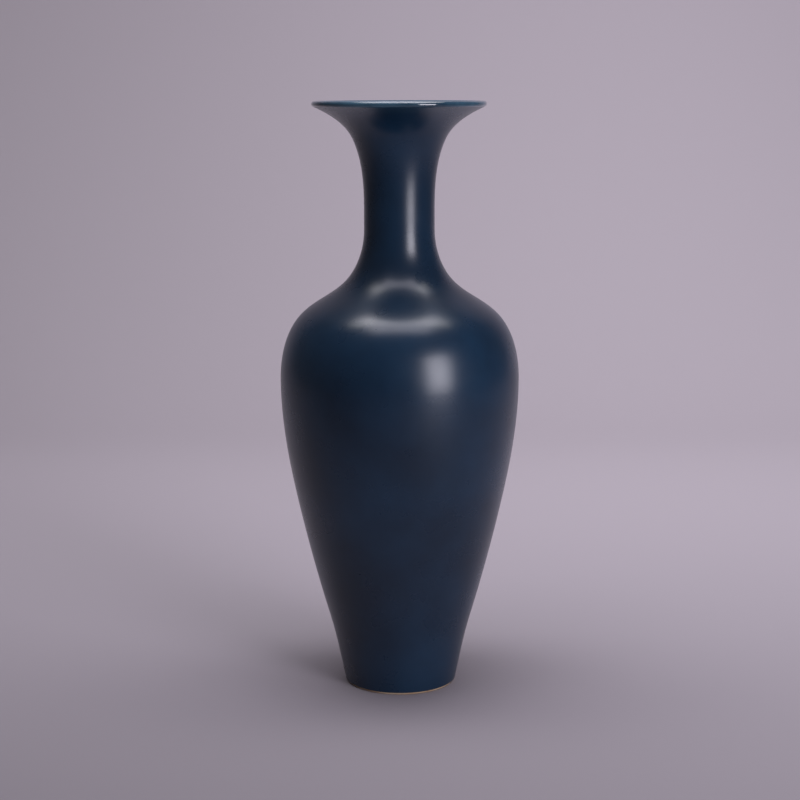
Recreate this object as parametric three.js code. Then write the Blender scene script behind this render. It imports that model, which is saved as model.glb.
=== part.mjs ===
import * as THREE from "three";

// A tall baluster vase with a trumpet mouth, thrown in three sections of porcelain that are luted
// together with slip, and coated with glaze. Millimetres, +Z up, the foot stands on z = 0.

// Whole height, from the rest face to the top of the lip.
const HEIGHT = 420;

// Outer profile, as stations up the wall: radius, height and lean of the wall from vertical in
// degrees, positive where the wall opens outwards. The flare is measured down from the top.
const FOOT_RADIUS = 40.4;
const GLAZE_LINE_HEIGHT = 1.5;
const FOOT_LEAN = 11.7;
const ANKLE_RADIUS = 51.5;
const ANKLE_HEIGHT = 50;
const ANKLE_LEAN = 16.5;
const FLANK_RADIUS = 74.6;
const FLANK_HEIGHT = 140;
const FLANK_LEAN = 12.3;
const BELLY_RADIUS = 85.3;
const BELLY_HEIGHT = 224;
const SHOULDER_RADIUS = 70.4;
const SHOULDER_HEIGHT = 270;
const SHOULDER_LEAN = -44;
const ROOT_RADIUS = 40.3;
const ROOT_HEIGHT = 292;
const ROOT_LEAN = -47.3;
const NECK_RADIUS = 25;
const NECK_HEIGHT = 330.5;
const FLARE_RADIUS = 32.8;
const FLARE_DROP = 26;
const FLARE_LEAN = 25;
const LIP_RADIUS = 60.2;
const LIP_LEAN = 66;

// Whole wall, glaze included, at the floor, at the two seams and at the lip.
const FOOT_WALL = 7;
const BELLY_WALL = 4.6;
const ROOT_WALL = 4.2;
const LIP_WALL = 4;

// Glaze coats.
const OUTER_GLAZE = 0.7;
const INNER_GLAZE = 0.5;
const BASE_GLAZE = 0.5;

// Clearance that keeps the meshes of a coat and of the body under it from crossing.
const COAT_CLEARANCE = 0.03;

// Turned foot: ring width, recess depth, corner sizes, and the floor above the recess.
const FOOT_WIDTH = 8.5;
const FOOT_CHAMFER = 0.6;
const RECESS_DEPTH = 7;
const RECESS_FILLET = 2.5;
const FLOOR_THICKNESS = 7.5;
const FLOOR_CORNER = 12;

// Seams where the thrown sections meet: the slip film between the rims and the ridge inside.
const BELLY_SEAM_HEIGHT = 216;
const NECK_SEAM_HEIGHT = 300;
const SLIP_FILM = 1;
const RIDGE_WIDTH = 8;
const RIDGE_DEPTH = 1.2;

// Fineness of the meshes.
const SEGMENTS = 28;
const SPAN_STEPS = 3;
const CORNER_STEPS = 3;
const LIP_STEPS = 6;

// Share of each span's chord that its two Bezier handles take.
const HANDLE_SHARE = 1 / 3;

const radians = THREE.MathUtils.degToRad;
const point = (radius, height) => new THREE.Vector2(radius, height);

// The lip is a half round as wide as the wall, so its station lies below the top by this much.
const LIP_HEIGHT = HEIGHT - (LIP_WALL / 2) * (1 + Math.sin(radians(LIP_LEAN)));

const stations = [
  { at: point(FOOT_RADIUS, GLAZE_LINE_HEIGHT), lean: FOOT_LEAN },
  { at: point(ANKLE_RADIUS, ANKLE_HEIGHT), lean: ANKLE_LEAN },
  { at: point(FLANK_RADIUS, FLANK_HEIGHT), lean: FLANK_LEAN },
  { at: point(BELLY_RADIUS, BELLY_HEIGHT), lean: 0 },
  { at: point(SHOULDER_RADIUS, SHOULDER_HEIGHT), lean: SHOULDER_LEAN },
  { at: point(ROOT_RADIUS, ROOT_HEIGHT), lean: ROOT_LEAN },
  { at: point(NECK_RADIUS, NECK_HEIGHT), lean: 0 },
  { at: point(FLARE_RADIUS, HEIGHT - FLARE_DROP), lean: FLARE_LEAN },
  { at: point(LIP_RADIUS, LIP_HEIGHT), lean: LIP_LEAN },
];

const direction = (lean) => point(Math.sin(radians(lean)), Math.cos(radians(lean)));

// One smooth curve between each pair of neighbouring stations.
const spans = stations.slice(1).map((upper, index) => {
  const lower = stations[index];
  const handle = lower.at.distanceTo(upper.at) * HANDLE_SHARE;
  return new THREE.CubicBezierCurve(
    lower.at,
    lower.at.clone().addScaledVector(direction(lower.lean), handle),
    upper.at.clone().addScaledVector(direction(upper.lean), -handle),
    upper.at,
  );
});

// The profile's point and outward normal at a height.
function profileAt(height) {
  const span = spans.find((curve) => height <= curve.v3.y) ?? spans[spans.length - 1];
  let low = 0;
  let high = 1;
  for (let halving = 0; halving < 50; halving += 1) {
    const middle = (low + high) / 2;
    if (span.getPoint(middle).y < height) low = middle;
    else high = middle;
  }
  const tangent = span.getTangent(high);
  return { at: span.getPoint(high), normal: point(tangent.y, -tangent.x) };
}

// The whole wall's thickness at a height.
function wallAt(height) {
  const marks = [
    [GLAZE_LINE_HEIGHT, FOOT_WALL],
    [BELLY_SEAM_HEIGHT, BELLY_WALL],
    [NECK_SEAM_HEIGHT, ROOT_WALL],
    [LIP_HEIGHT, LIP_WALL],
  ];
  const upper = Math.max(1, marks.findIndex(([mark]) => height <= mark));
  const [[lowMark, lowWall], [highMark, highWall]] = [marks[upper - 1], marks[upper]];
  return THREE.MathUtils.mapLinear(height, lowMark, highMark, lowWall, highWall);
}

// A point inside the wall, a depth in from the profile.
function inset(height, depth) {
  const { at, normal } = profileAt(height);
  return at.clone().addScaledVector(normal, -depth);
}

const coatFace = (height) => inset(height, 0);
const bodyFace = (height) => inset(height, OUTER_GLAZE);
const coatBack = (height) => inset(height, OUTER_GLAZE - COAT_CLEARANCE);
const boreFace = (height) => inset(height, wallAt(height) - INNER_GLAZE);
const linerBackFace = (height) => inset(height, wallAt(height) - INNER_GLAZE + COAT_CLEARANCE);
const linerFace = (height) => inset(height, wallAt(height));

// Heights of the curve's own samples between two heights, both ends included.
function heightsBetween(from, to) {
  const own = spans.flatMap((curve) => curve.getPoints(SPAN_STEPS).map(({ y }) => y));
  const clear = RIDGE_WIDTH / 4;
  return [from, ...new Set(own.filter((y) => y > from + clear && y < to - clear)), to];
}

// The heights that a seam adds: the ridge's lower edge, the two rims and the ridge's upper edge.
function seamHeights(seam) {
  const ridge = RIDGE_WIDTH / 2;
  const film = SLIP_FILM / 2;
  return [seam - ridge, seam - film, seam + film, seam + ridge];
}

const [bellyRidgeLow, bellyRimLow, bellyRimHigh, bellyRidgeHigh] = seamHeights(BELLY_SEAM_HEIGHT);
const [neckRidgeLow, neckRimLow, neckRimHigh, neckRidgeHigh] = seamHeights(NECK_SEAM_HEIGHT);

// The floor lies over the recess, and its corner meets the wall a corner's size above it.
const FLOOR_TOP = RECESS_DEPTH + FLOOR_THICKNESS;
const cornerHeight = FLOOR_TOP + FLOOR_CORNER;

const lowerHeights = [...heightsBetween(GLAZE_LINE_HEIGHT, bellyRidgeLow), bellyRimLow];
const upperHeights = [bellyRimHigh, ...heightsBetween(bellyRidgeHigh, neckRidgeLow), neckRimLow];
const neckHeights = [neckRimHigh, ...heightsBetween(neckRidgeHigh, LIP_HEIGHT)];
const lowerBoreHeights = [...heightsBetween(cornerHeight, bellyRidgeLow), bellyRimLow];

// The inside corner, from the flat floor round to the wall.
function floorCorner(wallPoint, floorHeight) {
  const curve = new THREE.QuadraticBezierCurve(
    point(wallPoint.x - FLOOR_CORNER, floorHeight),
    point(wallPoint.x - (wallPoint.y - floorHeight) * Math.tan(radians(ANKLE_LEAN)), floorHeight),
    wallPoint,
  );
  return curve.getPoints(CORNER_STEPS).slice(0, -1);
}

// A half round from one face of the wall over to the other.
function lipRound(outer, inner) {
  const centre = outer.clone().lerp(inner, 0.5);
  const arm = outer.clone().sub(centre);
  const turned = Array.from({ length: LIP_STEPS - 1 }, (_, step) => {
    const angle = (Math.PI * (step + 1)) / LIP_STEPS;
    return centre.clone().add(arm.clone().rotateAround(point(0, 0), angle));
  });
  return [outer, ...turned, inner];
}

// The ridge's face between its two edges, proud of the bore by its depth in the middle.
function ridgeFace(seam, extra) {
  const [low, rimLow, rimHigh, high] = seamHeights(seam);
  const bore = (height, proud) => inset(height, wallAt(height) - INNER_GLAZE + proud + extra);
  return [
    bore(low, 0),
    bore(rimLow, RIDGE_DEPTH),
    bore(rimHigh, RIDGE_DEPTH),
    bore(high, 0),
  ];
}

const footRestRadius = bodyFace(GLAZE_LINE_HEIGHT).x - FOOT_CHAMFER;
const footInnerRadius = footRestRadius - FOOT_WIDTH;

// The recess ceiling and its corner, from the axis to the foot ring's inner wall.
function recessLine(depth) {
  const corner = RECESS_FILLET - depth;
  const centre = point(footInnerRadius - RECESS_FILLET, RECESS_DEPTH - RECESS_FILLET);
  const round = Array.from({ length: CORNER_STEPS + 1 }, (_, step) => {
    const angle = (Math.PI / 2) * (1 - step / CORNER_STEPS);
    return centre.clone().add(point(Math.cos(angle), Math.sin(angle)).multiplyScalar(corner));
  });
  return [point(0, RECESS_DEPTH - depth), ...round];
}

function turned(name, outline, colour, roughness) {
  const geometry = new THREE.LatheGeometry(outline, SEGMENTS);
  geometry.rotateX(Math.PI / 2);
  const material = new THREE.MeshStandardMaterial({ color: colour, roughness, metalness: 0 });
  const mesh = new THREE.Mesh(geometry, material);
  mesh.name = name;
  return mesh;
}

const closed = (outline) => [...outline, outline[0].clone()];

const vase = new THREE.Group();
vase.name = "baluster_vase";

// Lower body: recess, turned foot, wall up to the belly seam and the floor inside.
const lowerBore = lowerBoreHeights.map(boreFace);
vase.add(turned("lower_section", [
  ...recessLine(0),
  point(footInnerRadius, FOOT_CHAMFER),
  point(footInnerRadius + FOOT_CHAMFER, 0),
  point(footRestRadius, 0),
  ...lowerHeights.map(bodyFace),
  ...lowerBore.slice().reverse(),
  ...floorCorner(lowerBore[0], FLOOR_TOP).reverse(),
  point(0, FLOOR_TOP),
], 0xb9a58c, 0.85));

// Upper body: belly and shoulder, between the two seams.
vase.add(turned("upper_section", closed([
  ...upperHeights.map(bodyFace),
  ...upperHeights.map(boreFace).reverse(),
]), 0xd8d2c4, 0.85));

// Neck with its trumpet mouth, closed over the lip.
const lipBody = lipRound(bodyFace(LIP_HEIGHT), boreFace(LIP_HEIGHT));
vase.add(turned("neck_section", closed([
  ...neckHeights.slice(0, -1).map(bodyFace),
  ...lipBody,
  ...neckHeights.slice(0, -1).map(boreFace).reverse(),
]), 0xd8d2c4, 0.85));

// Slip in the seams: the film between the rims and the ridge wiped over them inside.
function lutingRing(name, seam) {
  const [low, rimLow, rimHigh, high] = seamHeights(seam);
  return turned(name, closed([
    boreFace(rimLow),
    bodyFace(rimLow),
    bodyFace(rimHigh),
    boreFace(rimHigh),
    boreFace(high),
    ...ridgeFace(seam, 0).slice(1, -1).reverse(),
    boreFace(low),
  ]), 0xcfc6b4, 0.9);
}
vase.add(lutingRing("belly_luting_ring", BELLY_SEAM_HEIGHT));
vase.add(lutingRing("neck_luting_ring", NECK_SEAM_HEIGHT));

// Blue glaze over the outside, from the glaze line to the lip.
const coatHeights = [...lowerHeights, ...upperHeights, ...neckHeights];
vase.add(turned("outer_glaze", closed([
  ...coatHeights.map(coatFace),
  ...coatHeights.map(coatBack).reverse(),
]), 0x1b2b45, 0.38));

// Thin glossy glaze over the lip, between the blue coat and the liner.
vase.add(turned("lip_glaze", closed([
  ...lipRound(coatFace(LIP_HEIGHT), linerFace(LIP_HEIGHT)),
  ...lipRound(coatBack(LIP_HEIGHT), linerBackFace(LIP_HEIGHT)).reverse(),
]), 0x3a5566, 0.15));

// White liner glaze inside, over the floor, the walls and the seam ridges.
const lowLinerHeights = lowerBoreHeights.slice(0, -2);
const midLinerHeights = upperHeights.slice(2, -2);
const topLinerHeights = neckHeights.slice(2);
function linerLine(face, extra) {
  return [
    ...lowLinerHeights.map(face), ...ridgeFace(BELLY_SEAM_HEIGHT, extra),
    ...midLinerHeights.map(face), ...ridgeFace(NECK_SEAM_HEIGHT, extra),
    ...topLinerHeights.map(face),
  ];
}
const linerBack = linerLine(linerBackFace, COAT_CLEARANCE);
const linerFront = linerLine(linerFace, INNER_GLAZE);
vase.add(turned("inner_glaze", [
  point(0, FLOOR_TOP + COAT_CLEARANCE),
  ...floorCorner(linerBack[0], FLOOR_TOP + COAT_CLEARANCE),
  ...linerBack,
  ...linerFront.slice().reverse(),
  ...floorCorner(linerFront[0], FLOOR_TOP + INNER_GLAZE).reverse(),
  point(0, FLOOR_TOP + INNER_GLAZE),
], 0xd9dde6, 0.15));

// White glaze on the recessed base, stopping short of the bare foot ring.
vase.add(turned("base_glaze", [
  ...recessLine(BASE_GLAZE),
  ...recessLine(COAT_CLEARANCE).reverse(),
], 0xd9dde6, 0.2));

export default vase;
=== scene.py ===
import math

import bmesh
import bpy
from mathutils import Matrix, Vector


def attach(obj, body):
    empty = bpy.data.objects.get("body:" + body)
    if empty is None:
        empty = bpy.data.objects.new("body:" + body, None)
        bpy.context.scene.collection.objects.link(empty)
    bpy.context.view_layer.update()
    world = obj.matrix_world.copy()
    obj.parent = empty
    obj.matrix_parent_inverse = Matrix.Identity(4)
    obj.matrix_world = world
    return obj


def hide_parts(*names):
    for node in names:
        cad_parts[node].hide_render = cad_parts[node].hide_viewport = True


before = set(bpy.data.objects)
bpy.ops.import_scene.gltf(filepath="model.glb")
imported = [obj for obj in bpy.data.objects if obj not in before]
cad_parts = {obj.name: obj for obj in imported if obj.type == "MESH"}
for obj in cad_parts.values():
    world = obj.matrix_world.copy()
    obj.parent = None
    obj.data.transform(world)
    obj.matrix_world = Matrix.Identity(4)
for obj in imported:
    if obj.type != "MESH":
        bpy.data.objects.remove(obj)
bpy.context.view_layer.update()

# The thrown body, lower section
# White porcelain clay, thrown and turned, with the base recessed inside the foot ring. Only that bare ring
# shows, fired to a warm tan. The upper section is luted to its rim.
HEIGHT = 0.420
LIP_WALL = 0.004
LIP_LEAN = 66.0
ANKLE_LEAN = 16.5
GLAZE_LINE = 0.0015
LIP_HEIGHT = HEIGHT - LIP_WALL / 2 * (1 + math.sin(math.radians(LIP_LEAN)))
BELLY_SEAM = 0.216
NECK_SEAM = 0.300
OUTER_GLAZE = 0.0007
INNER_GLAZE = 0.0005
HANDLE_SHARE = 1 / 3
SPAN_STEPS = 12
HALVINGS = 40
END_GAP = 0.0006
ON_AXIS = 1e-7
SHARP_ANGLE = 35.0

# Radius, height and lean of the wall in degrees, from the glaze line up to the lip.
stations = [
    (0.0404, GLAZE_LINE, 11.7),
    (0.0515, 0.050, ANKLE_LEAN),
    (0.0746, 0.140, 12.3),
    (0.0853, 0.224, 0.0),
    (0.0704, 0.270, -44.0),
    (0.0403, 0.292, -47.3),
    (0.0250, 0.3305, 0.0),
    (0.0328, 0.394, 25.0),
    (0.0602, LIP_HEIGHT, LIP_LEAN),
]

# The whole wall, glazes included, at the heights where it is set.
wall_marks = [(GLAZE_LINE, 0.007), (BELLY_SEAM, 0.0046), (NECK_SEAM, 0.0042), (LIP_HEIGHT, LIP_WALL)]


def span_points(lower, upper):
    """The four control points of the curve between two stations."""
    start = Vector(lower[:2])
    end = Vector(upper[:2])
    handle = (end - start).length * HANDLE_SHARE
    leans = [math.radians(station[2]) for station in (lower, upper)]
    start_way, end_way = [Vector((math.sin(lean), math.cos(lean))) for lean in leans]
    return start, start + start_way * handle, end - end_way * handle, end


def on_span(points, t):
    """Place and direction on a cubic curve."""
    a, b, c, d = points
    s = 1 - t
    place = a * s**3 + b * 3 * s * s * t + c * 3 * s * t * t + d * t**3
    way = (b - a) * s * s + (c - b) * 2 * s * t + (d - c) * t * t
    return place, way.normalized()


spans = [span_points(lower, upper) for lower, upper in zip(stations, stations[1:])]


def inset(height, depth):
    """A point of the wall's section, a depth in from the outer face."""
    span = next((points for points in spans if height <= points[3].y), spans[-1])
    low, high = 0.0, 1.0
    for halving in range(HALVINGS):
        middle = (low + high) / 2
        if on_span(span, middle)[0].y < height:
            low = middle
        else:
            high = middle
    place, way = on_span(span, high)
    return place - Vector((way.y, -way.x)) * depth


def wall(height):
    """The whole wall at a height."""
    for (low, low_wall), (high, high_wall) in zip(wall_marks, wall_marks[1:]):
        if height <= high:
            break
    share = (height - low) / (high - low)
    return low_wall + (high_wall - low_wall) * share


def heights(start, end):
    """Both ends, and between them the heights of the curve's samples that aren't too near an end."""
    own = []
    for points in spans:
        own += [on_span(points, step / SPAN_STEPS)[0].y for step in range(SPAN_STEPS)]
    return [start] + [y for y in own if start + END_GAP < y < end - END_GAP] + [end]


def turn(name, outline, segments, closes=True):
    """A solid of revolution about Z. An outline that starts and ends on the axis isn't closed."""
    mesh = bpy.data.meshes.new(name)
    made = bmesh.new()
    angles = [2 * math.pi * step / segments for step in range(segments)]
    rings = []
    for radius, height in outline:
        if radius < ON_AXIS:
            rings.append([made.verts.new((0, 0, height))])
        else:
            rings.append([
                made.verts.new((radius * math.cos(a), radius * math.sin(a), height)) for a in angles
            ])
    pairs = list(zip(rings, rings[1:]))
    if closes:
        pairs.append((rings[-1], rings[0]))
    for low, high in pairs:
        for step in range(segments):
            after = (step + 1) % segments
            corners = [low[step % len(low)], low[after % len(low)]]
            corners += [high[after % len(high)], high[step % len(high)]]
            corners = list(dict.fromkeys(corners))
            if len(corners) > 2:
                made.faces.new(corners)
    bmesh.ops.recalc_face_normals(made, faces=made.faces)
    made.to_mesh(mesh)
    made.free()
    mesh.shade_smooth()
    mesh.set_sharp_from_angle(angle=math.radians(SHARP_ANGLE))
    piece = bpy.data.objects.new(name, mesh)
    bpy.context.scene.collection.objects.link(piece)
    return piece


def new_material(name):
    """A material's nodes, links and main shader, with object coordinates to work from."""
    material = bpy.data.materials.new(name)
    material.use_nodes = True
    nodes = material.node_tree.nodes
    coordinates = nodes.new("ShaderNodeTexCoord").outputs["Object"]
    return material, nodes, material.node_tree.links, nodes["Principled BSDF"], coordinates


def noise(nodes, links, vector, scale, detail):
    """A noise texture's value, mostly from 0.3 to 0.7, at so many cells per metre."""
    texture = nodes.new("ShaderNodeTexNoise")
    texture.inputs["Scale"].default_value = scale
    texture.inputs["Detail"].default_value = detail
    links.new(vector, texture.inputs["Vector"])
    return texture.outputs["Fac"]


def ramp(nodes, links, value, span, colours):
    """Runs from one colour to another as a value goes over a span."""
    node = nodes.new("ShaderNodeValToRGB")
    for element, position, colour in zip(node.color_ramp.elements, span, colours):
        element.position = position
        element.color = (*colour, 1.0)
    links.new(value, node.inputs["Fac"])
    return node.outputs["Color"]


def shade(nodes, links, value, span, levels):
    """Runs from one level of grey to another as a value goes over a span."""
    return ramp(nodes, links, value, span, [(level, level, level) for level in levels])


def blend(nodes, links, share, first, second, mode="MIX"):
    """Mixes two colours, each a socket or a value, by a share."""
    node = nodes.new("ShaderNodeMix")
    node.data_type = "RGBA"
    node.blend_type = mode
    # The node's inputs 0, 6 and 7 are the share and the two colours, and output 2 is the mixed colour.
    for socket, value in ((node.inputs[0], share), (node.inputs[6], first), (node.inputs[7], second)):
        if isinstance(value, bpy.types.NodeSocket):
            links.new(value, socket)
        elif isinstance(value, tuple):
            socket.default_value = (*value, 1.0)
        else:
            socket.default_value = value
    return node.outputs[2]


def bump(nodes, links, value, depth, under=None):
    """A bump from a value, over another bump's normal where one is given."""
    node = nodes.new("ShaderNodeBump")
    node.inputs["Distance"].default_value = depth
    links.new(value, node.inputs["Height"])
    if under is not None:
        links.new(under, node.inputs["Normal"])
    return node.outputs["Normal"]


# Each noise is given as its cells per metre and its detail.
CLAY_CLOUDS = (60.0, 4.0)
CLAY_SPAN = (0.38, 0.64)
CLAY_GRAIN = (900.0, 2.0)
SPECK_SPAN = (0.66, 0.74)
SPECK_SHADE = 0.35
NOISE_SPAN = (0.3, 0.7)
CLAY_ROUGH = (0.72, 0.92)
BISCUIT_PALE = (0.52, 0.40, 0.27)
BISCUIT_WARM = (0.36, 0.22, 0.12)
BISCUIT_GRAIN_DEPTH = 0.0002


def clay_material(name, pale, warm, grain_depth):
    """Bare fired clay: pale and warm clouds, dark iron specks and an open grain."""
    material, nodes, links, shader, place = new_material(name)
    clouds = noise(nodes, links, place, *CLAY_CLOUDS)
    colour = ramp(nodes, links, clouds, CLAY_SPAN, (pale, warm))
    grain = noise(nodes, links, place, *CLAY_GRAIN)
    specks = shade(nodes, links, grain, SPECK_SPAN, (1.0, SPECK_SHADE))
    colour = blend(nodes, links, 1.0, colour, specks, "MULTIPLY")
    links.new(colour, shader.inputs["Base Color"])
    links.new(shade(nodes, links, clouds, NOISE_SPAN, CLAY_ROUGH), shader.inputs["Roughness"])
    links.new(bump(nodes, links, grain, grain_depth), shader.inputs["Normal"])
    return material


clay = clay_material("porcelain", BISCUIT_PALE, BISCUIT_WARM, BISCUIT_GRAIN_DEPTH)

BODY_SEGMENTS = 128
FOOT_WIDTH = 0.0085
FOOT_CHAMFER = 0.0006
RECESS_DEPTH = 0.007
RECESS_FILLET = 0.0025
FLOOR_THICKNESS = 0.0075
FLOOR_TOP = RECESS_DEPTH + FLOOR_THICKNESS
FLOOR_CORNER = 0.012
CORNER_STEPS = 10
SLIP_FILM = 0.001

foot_rest = inset(GLAZE_LINE, OUTER_GLAZE).x - FOOT_CHAMFER
foot_inner = foot_rest - FOOT_WIDTH
belly_low = BELLY_SEAM - SLIP_FILM / 2


def body_face(height):
    """The clay's outer face, under the blue glaze."""
    return inset(height, OUTER_GLAZE)


def bore_face(height):
    """The clay's inner face, under the white liner."""
    return inset(height, wall(height) - INNER_GLAZE)


def recess(depth):
    """The recess ceiling and its corner, a glaze depth below the clay."""
    line = [(0, RECESS_DEPTH - depth)]
    arm = RECESS_FILLET - depth
    for step in range(CORNER_STEPS + 1):
        angle = math.pi / 2 * (1 - step / CORNER_STEPS)
        across = foot_inner - RECESS_FILLET + arm * math.cos(angle)
        line.append((across, RECESS_DEPTH - RECESS_FILLET + arm * math.sin(angle)))
    return line


def floor_corner(wall_point, floor):
    """The inside corner, from the flat floor round to the wall."""
    start = Vector((wall_point.x - FLOOR_CORNER, floor))
    middle = Vector((wall_point.x - (wall_point.y - floor) * math.tan(math.radians(ANKLE_LEAN)), floor))
    shares = [step / CORNER_STEPS for step in range(CORNER_STEPS)]
    return [start * (1 - t) ** 2 + middle * 2 * t * (1 - t) + wall_point * t * t for t in shares]


lower_bore = [bore_face(y) for y in heights(FLOOR_TOP + FLOOR_CORNER, belly_low)]
lower = turn("lower_body", [
    *recess(0),
    (foot_inner, FOOT_CHAMFER),
    (foot_inner + FOOT_CHAMFER, 0),
    (foot_rest, 0),
    *[body_face(y) for y in heights(GLAZE_LINE, belly_low)],
    *lower_bore[::-1],
    *floor_corner(lower_bore[0], FLOOR_TOP)[::-1],
    (0, FLOOR_TOP),
], BODY_SEGMENTS, closes=False)
lower.data.materials.append(clay)
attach(lower, "root")
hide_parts("lower_section")

# The thrown body, upper section
# Belly and shoulder, of the same clay, thrown apart from the lower body and joined to it rim to rim. The
# glaze covers it.
upper_heights = heights(BELLY_SEAM + SLIP_FILM / 2, NECK_SEAM - SLIP_FILM / 2)
upper = turn("upper_body", [
    *[body_face(y) for y in upper_heights],
    *[bore_face(y) for y in upper_heights[::-1]],
], BODY_SEGMENTS)
upper.data.materials.append(clay)
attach(upper, "root")
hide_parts("upper_section")

# The neck and trumpet mouth
# Of the same clay, thrown as one piece, drawn out thin to a half round lip, and set on the shoulder. The
# glaze covers it.
LIP_STEPS = 12


def lip_round(outer, inner):
    """A half round from one face of the wall over to the other."""
    centre = (outer + inner) / 2
    arm = outer - centre
    line = [outer]
    for step in range(1, LIP_STEPS):
        angle = math.pi * step / LIP_STEPS
        line.append(centre + Vector((
            arm.x * math.cos(angle) - arm.y * math.sin(angle),
            arm.x * math.sin(angle) + arm.y * math.cos(angle),
        )))
    return line + [inner]


neck_heights = heights(NECK_SEAM + SLIP_FILM / 2, LIP_HEIGHT)
neck = turn("neck_body", [
    *[body_face(y) for y in neck_heights[:-1]],
    *lip_round(body_face(LIP_HEIGHT), bore_face(LIP_HEIGHT)),
    *[bore_face(y) for y in neck_heights[-2::-1]],
], BODY_SEGMENTS)
neck.data.materials.append(clay)
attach(neck, "root")
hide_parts("neck_section")

# The luting seams
# Slip that joins the sections, with the low ridge that is left inside where it was wiped down by hand.
RIDGE_WIDTH = 0.008
RIDGE_DEPTH = 0.0012
RIDGE_STEPS = 10
SLIP_PALE = (0.66, 0.60, 0.50)
SLIP_WARM = (0.50, 0.43, 0.34)
SLIP_GRAIN_DEPTH = 0.0003
slip = clay_material("luting_slip", SLIP_PALE, SLIP_WARM, SLIP_GRAIN_DEPTH)


def ridge(seam, extra):
    """The ridge's face up the bore, a smooth swell between its two edges, and so much further in."""
    line = []
    for step in range(RIDGE_STEPS + 1):
        share = step / RIDGE_STEPS
        height = seam + RIDGE_WIDTH * (share - 0.5)
        swell = RIDGE_DEPTH * math.sin(math.pi * share) ** 2
        line.append(inset(height, wall(height) - INNER_GLAZE + swell + extra))
    return line


def luting(name, node, seam):
    """The film between two rims, with its ridge inside."""
    low = seam - SLIP_FILM / 2
    high = seam + SLIP_FILM / 2
    ring = turn(name, [
        bore_face(low), body_face(low), body_face(high), bore_face(high),
        *ridge(seam, 0.0)[::-1],
    ], BODY_SEGMENTS)
    ring.data.materials.append(slip)
    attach(ring, "root")
    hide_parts(node)


luting("belly_seam", "belly_luting_ring", BELLY_SEAM)
luting("neck_seam", "neck_luting_ring", NECK_SEAM)

# The blue glaze
# A deep satin blue, dipped or sprayed over the whole outside down to a wiped line above the foot. It has
# a fine skin, faint throwing rings below it, paler blue clouds and a few pinholes, and thins at the lip.
GLAZE_SEGMENTS = 256
COAT_CLEARANCE = 0.00003
BLUE_DEEP = (0.0028, 0.0132, 0.031)
BLUE_PALE = (0.0060, 0.0255, 0.056)
BLUE_CLOUDS = (14.0, 6.0)
BLUE_SPAN = (0.36, 0.66)
BLUE_THIN = (0.018, 0.045, 0.075)
THIN_BELOW_LIP = 0.005
THIN_ABOVE_LIP = 0.001
PINHOLE_SCALE = 90.0
PINHOLE_EDGE = (0.010, 0.026)
PINHOLE_SHADE = 0.7
PINHOLE_DEPTH = 0.00002
SATIN_PATCHES = (35.0, 5.0)
SATIN_ROUGH = (0.26, 0.31)
GLAZE_IOR = 1.5
SKIN = (700.0, 3.0)
SKIN_DEPTH = 0.00001
RING_PITCH = 0.0062
RING_DEPTH = 0.000003
# Blender's wave texture goes through this many radians per metre at a scale of 1.
WAVE_RADIANS = 20


def fade(nodes, links, place, axis, start, end, low=0.0, high=1.0, smooth=False):
    """Goes from a low to a high value between two places along an axis."""
    split = nodes.new("ShaderNodeSeparateXYZ")
    links.new(place, split.inputs[0])
    node = nodes.new("ShaderNodeMapRange")
    if smooth:
        node.interpolation_type = "SMOOTHSTEP"
    for socket, value in zip(("From Min", "From Max", "To Min", "To Max"), (start, end, low, high)):
        node.inputs[socket].default_value = value
    links.new(split.outputs[axis], node.inputs["Value"])
    return node.outputs[0]


blue, nodes, links, shader, place = new_material("blue_glaze")
colour = ramp(nodes, links, noise(nodes, links, place, *BLUE_CLOUDS), BLUE_SPAN, (BLUE_DEEP, BLUE_PALE))
thin = fade(nodes, links, place, "Z", LIP_HEIGHT - THIN_BELOW_LIP, LIP_HEIGHT + THIN_ABOVE_LIP)
colour = blend(nodes, links, thin, colour, BLUE_THIN)
holes = nodes.new("ShaderNodeTexVoronoi")
holes.inputs["Scale"].default_value = PINHOLE_SCALE
links.new(place, holes.inputs["Vector"])
hole = shade(nodes, links, holes.outputs["Distance"], PINHOLE_EDGE, (0.0, 1.0))
hole_shade = shade(nodes, links, hole, (0.0, 1.0), (PINHOLE_SHADE, 1.0))
links.new(blend(nodes, links, 1.0, colour, hole_shade, "MULTIPLY"), shader.inputs["Base Color"])
satin = noise(nodes, links, place, *SATIN_PATCHES)
links.new(shade(nodes, links, satin, NOISE_SPAN, SATIN_ROUGH), shader.inputs["Roughness"])
shader.inputs["IOR"].default_value = GLAZE_IOR
rings = nodes.new("ShaderNodeTexWave")
rings.bands_direction = "Z"
rings.inputs["Scale"].default_value = 1 / RING_PITCH / WAVE_RADIANS * 2 * math.pi
links.new(place, rings.inputs["Vector"])
normal = bump(nodes, links, rings.outputs["Fac"], RING_DEPTH)
normal = bump(nodes, links, noise(nodes, links, place, *SKIN), SKIN_DEPTH, normal)
normal = bump(nodes, links, hole, PINHOLE_DEPTH, normal)
links.new(normal, shader.inputs["Normal"])

coat_heights = heights(GLAZE_LINE, LIP_HEIGHT)
coat = turn("blue_coat", [
    *[inset(y, 0) for y in coat_heights],
    *[inset(y, OUTER_GLAZE - COAT_CLEARANCE) for y in coat_heights[::-1]],
], GLAZE_SEGMENTS)
coat.data.materials.append(blue)
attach(coat, "root")
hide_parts("outer_glaze")

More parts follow.
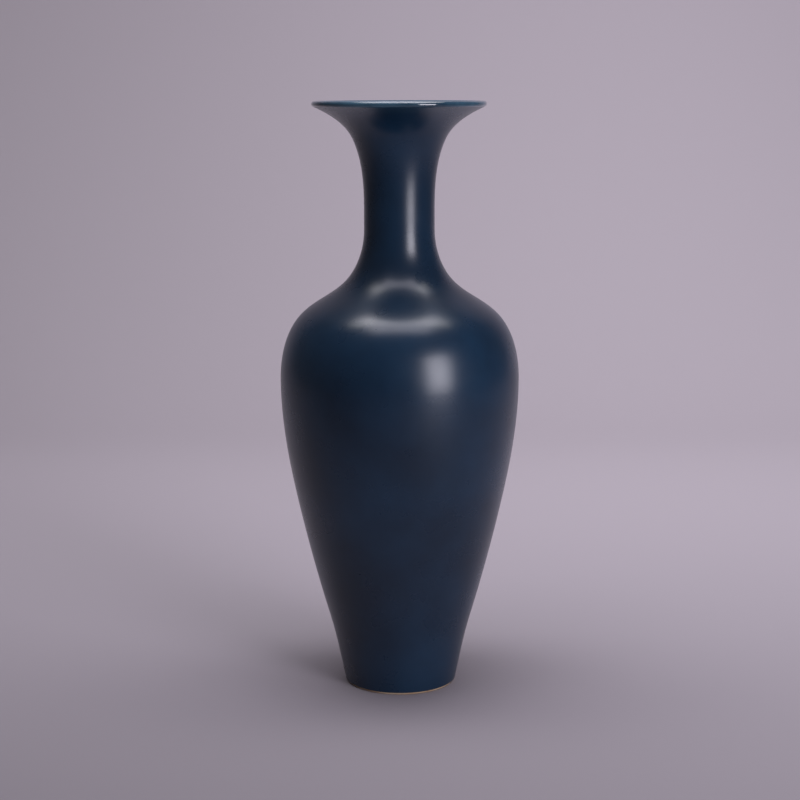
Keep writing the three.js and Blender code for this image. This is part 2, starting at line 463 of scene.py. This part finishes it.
# The lip glaze
# Where the blue coat ran off the lip it fired thin, glossy and teal, with paler and darker stretches.
LIP_PALE = (0.036, 0.090, 0.135)
LIP_DEEP = (0.012, 0.036, 0.062)
LIP_PATCHES = (45.0, 5.0)
LIP_SPAN = (0.35, 0.62)
LIP_ROUGH = (0.10, 0.20)
LIP_RIPPLES = (300.0, 4.0)
LIP_RIPPLE_DEPTH = 0.00004
LIP_COAT = 0.6
LIP_COAT_ROUGH = 0.06

teal, nodes, links, shader, place = new_material("lip_glaze")
patches = noise(nodes, links, place, *LIP_PATCHES)
ripples = noise(nodes, links, place, *LIP_RIPPLES)
links.new(ramp(nodes, links, patches, LIP_SPAN, (LIP_DEEP, LIP_PALE)), shader.inputs["Base Color"])
links.new(shade(nodes, links, patches, NOISE_SPAN, LIP_ROUGH), shader.inputs["Roughness"])
links.new(bump(nodes, links, ripples, LIP_RIPPLE_DEPTH), shader.inputs["Normal"])
shader.inputs["Coat Weight"].default_value = LIP_COAT
shader.inputs["Coat Roughness"].default_value = LIP_COAT_ROUGH

coat_end = inset(LIP_HEIGHT, OUTER_GLAZE - COAT_CLEARANCE)
liner_end = inset(LIP_HEIGHT, LIP_WALL - INNER_GLAZE + COAT_CLEARANCE)
lip = turn("lip_coat", [
    *lip_round(inset(LIP_HEIGHT, 0), inset(LIP_HEIGHT, LIP_WALL)),
    *lip_round(coat_end, liner_end)[::-1],
], GLAZE_SEGMENTS)
lip.data.materials.append(teal)
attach(lip, "root")
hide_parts("lip_glaze")

# The white liner
# A clear glossy glaze on the pale clay, poured in and out again. The teal of the lip runs a little way down
# into it.
WHITE_COOL = (0.60, 0.63, 0.68)
WHITE_WARM = (0.66, 0.66, 0.64)
WHITE_PATCHES = (20.0, 5.0)
WHITE_SPAN = (0.35, 0.65)
WHITE_SPECKS = (800.0, 1.0)
WHITE_SPECK_SPAN = (0.74, 0.78)
WHITE_SPECK_SHADE = 0.55
WHITE_ROUGH = (0.08, 0.16)
WHITE_RIPPLES = (220.0, 4.0)
WHITE_RIPPLE_DEPTH = 0.00006
LIP_RUN = 0.0011
LIP_RUN_BLUR = 0.0003

white, nodes, links, shader, place = new_material("white_glaze")
patches = noise(nodes, links, place, *WHITE_PATCHES)
grain = noise(nodes, links, place, *WHITE_SPECKS)
ripples = noise(nodes, links, place, *WHITE_RIPPLES)
colour = ramp(nodes, links, patches, WHITE_SPAN, (WHITE_COOL, WHITE_WARM))
specks = shade(nodes, links, grain, WHITE_SPECK_SPAN, (1.0, WHITE_SPECK_SHADE))
colour = blend(nodes, links, 1.0, colour, specks, "MULTIPLY")
run = fade(nodes, links, place, "Z", HEIGHT - LIP_RUN, HEIGHT - LIP_RUN + LIP_RUN_BLUR)
links.new(blend(nodes, links, run, colour, LIP_PALE), shader.inputs["Base Color"])
links.new(shade(nodes, links, patches, NOISE_SPAN, WHITE_ROUGH), shader.inputs["Roughness"])
links.new(bump(nodes, links, ripples, WHITE_RIPPLE_DEPTH), shader.inputs["Normal"])


def liner_line(extra):
    """A face of the liner, up the inside and over the two seam ridges, so much further in than the clay."""
    start = FLOOR_TOP + FLOOR_CORNER
    line = [inset(start, wall(start) - INNER_GLAZE + extra)]
    for seam in (BELLY_SEAM, NECK_SEAM):
        below = heights(start, seam - RIDGE_WIDTH / 2)[1:-1]
        line += [inset(y, wall(y) - INNER_GLAZE + extra) for y in below]
        line += ridge(seam, extra)
        start = seam + RIDGE_WIDTH / 2
    return line + [inset(y, wall(y) - INNER_GLAZE + extra) for y in heights(start, LIP_HEIGHT)[1:]]


back = liner_line(COAT_CLEARANCE)
front = liner_line(INNER_GLAZE)
liner = turn("white_liner", [
    (0, FLOOR_TOP + COAT_CLEARANCE),
    *floor_corner(back[0], FLOOR_TOP + COAT_CLEARANCE),
    *back,
    *front[::-1],
    *floor_corner(front[0], FLOOR_TOP + INNER_GLAZE)[::-1],
    (0, FLOOR_TOP + INNER_GLAZE),
], GLAZE_SEGMENTS, closes=False)
liner.data.materials.append(white)
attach(liner, "root")
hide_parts("inner_glaze")

# The base glaze
# The same clear glaze, brushed over the recessed base and its corner, inside the bare foot ring.
BASE_GLAZE = 0.0005
base = turn("base_coat", [
    *recess(BASE_GLAZE),
    *recess(COAT_CLEARANCE)[::-1],
], BODY_SEGMENTS, closes=False)
base.data.materials.append(white)
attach(base, "root")
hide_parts("base_glaze")

# Floor and backdrop
# One plain sweep, pale lilac grey, from in front of the vase back and up behind it. Its colour carries
# painted
# shade and light: darker in front and a little darker on the left, lighter towards the back and the right.
SWEEP_WIDTH = 4.0
SWEEP_FRONT = -1.6
SWEEP_BACK = 1.6
SWEEP_TOP = 2.4
SWEEP_BEND = 0.7
BEND_STEPS = 16
FLOOR_DROP = 0.0002
SWEEP_COLOUR = (0.405, 0.366, 0.405)
SWEEP_ROUGH = 0.9
# Where each fade of painted shade and light starts and ends, and the share of the colour at both.
SIDE_PAINTED_SHADE = (-0.8, 0.6, 0.88, 1.18)
FRONT_PAINTED_SHADE = (-0.5, 0.8, 0.50, 1.15)

line = [(SWEEP_FRONT, 0.0)]
for step in range(BEND_STEPS + 1):
    angle = math.pi / 2 * step / BEND_STEPS
    line.append((
        SWEEP_BACK - SWEEP_BEND + SWEEP_BEND * math.sin(angle),
        SWEEP_BEND - SWEEP_BEND * math.cos(angle),
    ))
line.append((SWEEP_BACK, SWEEP_TOP))
corners = [(side * SWEEP_WIDTH / 2, y, z - FLOOR_DROP) for y, z in line for side in (-1, 1)]
faces = [(2 * i, 2 * i + 1, 2 * i + 3, 2 * i + 2) for i in range(len(line) - 1)]
sweep_mesh = bpy.data.meshes.new("sweep")
sweep_mesh.from_pydata(corners, [], faces)
sweep_mesh.shade_smooth()
sweep = bpy.data.objects.new("sweep", sweep_mesh)
bpy.context.scene.collection.objects.link(sweep)

paper, nodes, links, shader, place = new_material("sweep_paper")
colour = SWEEP_COLOUR
# Painted shade and light: the colour is multiplied by a fade across and by another from front to back.
for axis, painted_shade_range in (("X", SIDE_PAINTED_SHADE), ("Y", FRONT_PAINTED_SHADE)):
    level = fade(nodes, links, place, axis, *painted_shade_range, smooth=True)
    colour = blend(nodes, links, 1.0, colour, level, "MULTIPLY")
links.new(colour, shader.inputs["Base Color"])
shader.inputs["Roughness"].default_value = SWEEP_ROUGH
sweep_mesh.materials.append(paper)

# Camera
# A little above the vase's mouth and tilted down, as in the photograph.
LENS = 79.5
SENSOR = 36.0
CAMERA_PLACE = (0.0, -1.251, 0.4318)
CAMERA_TILT = 10.15
CAMERA_ROLL = -0.13
CAMERA_SHIFT = 0.0003
camera_data = bpy.data.cameras.new("camera")
camera_data.lens = LENS
camera_data.sensor_width = SENSOR
camera_data.shift_x = CAMERA_SHIFT
camera = bpy.data.objects.new("camera", camera_data)
camera.location = CAMERA_PLACE
camera.rotation_euler = (math.radians(90 - CAMERA_TILT), 0, 0)
camera.rotation_euler.rotate_axis("Z", math.radians(CAMERA_ROLL))
bpy.context.scene.collection.objects.link(camera)
bpy.context.scene.camera = camera

# Lights
# A softbox in front on the right, one overhead, and a broad one high up that lights the backdrop. A dim
# even light comes from all round.
STUDIO_TINT = (0.93, 0.90, 1.0)
PLAIN_WHITE = (1.0, 1.0, 1.0)
WORLD_COLOUR = (0.50, 0.48, 0.53)
WORLD_STRENGTH = 0.18


def softbox(name, at, aim, width, height, watts, colour):
    """A rectangular light that faces a point."""
    data = bpy.data.lights.new(name, "AREA")
    data.shape = "RECTANGLE"
    data.size = width
    data.size_y = height
    data.energy = watts
    data.color = colour
    lamp = bpy.data.objects.new(name, data)
    lamp.location = at
    lamp.rotation_euler = (Vector(aim) - Vector(at)).to_track_quat("-Z", "Y").to_euler()
    bpy.context.scene.collection.objects.link(lamp)


softbox(
    "key", at=(0.90, -1.20, 0.50), aim=(0.0, 0.0, 0.235),
    width=0.57, height=0.84, watts=15.0, colour=STUDIO_TINT,
)
softbox(
    "overhead", at=(0.0, -0.10, 1.60), aim=(0.0, -0.10, 0.0),
    width=1.15, height=0.95, watts=15.0, colour=STUDIO_TINT,
)
softbox(
    "backdrop", at=(0.0, 0.2, 2.3), aim=(0.0, 1.5, 0.5),
    width=2.4, height=0.8, watts=22.0, colour=PLAIN_WHITE,
)

world = bpy.data.worlds.new("studio")
world.use_nodes = True
background = world.node_tree.nodes["Background"]
background.inputs["Color"].default_value = (*WORLD_COLOUR, 1.0)
background.inputs["Strength"].default_value = WORLD_STRENGTH
bpy.context.scene.world = world
bpy.context.scene.view_settings.view_transform = "Standard"
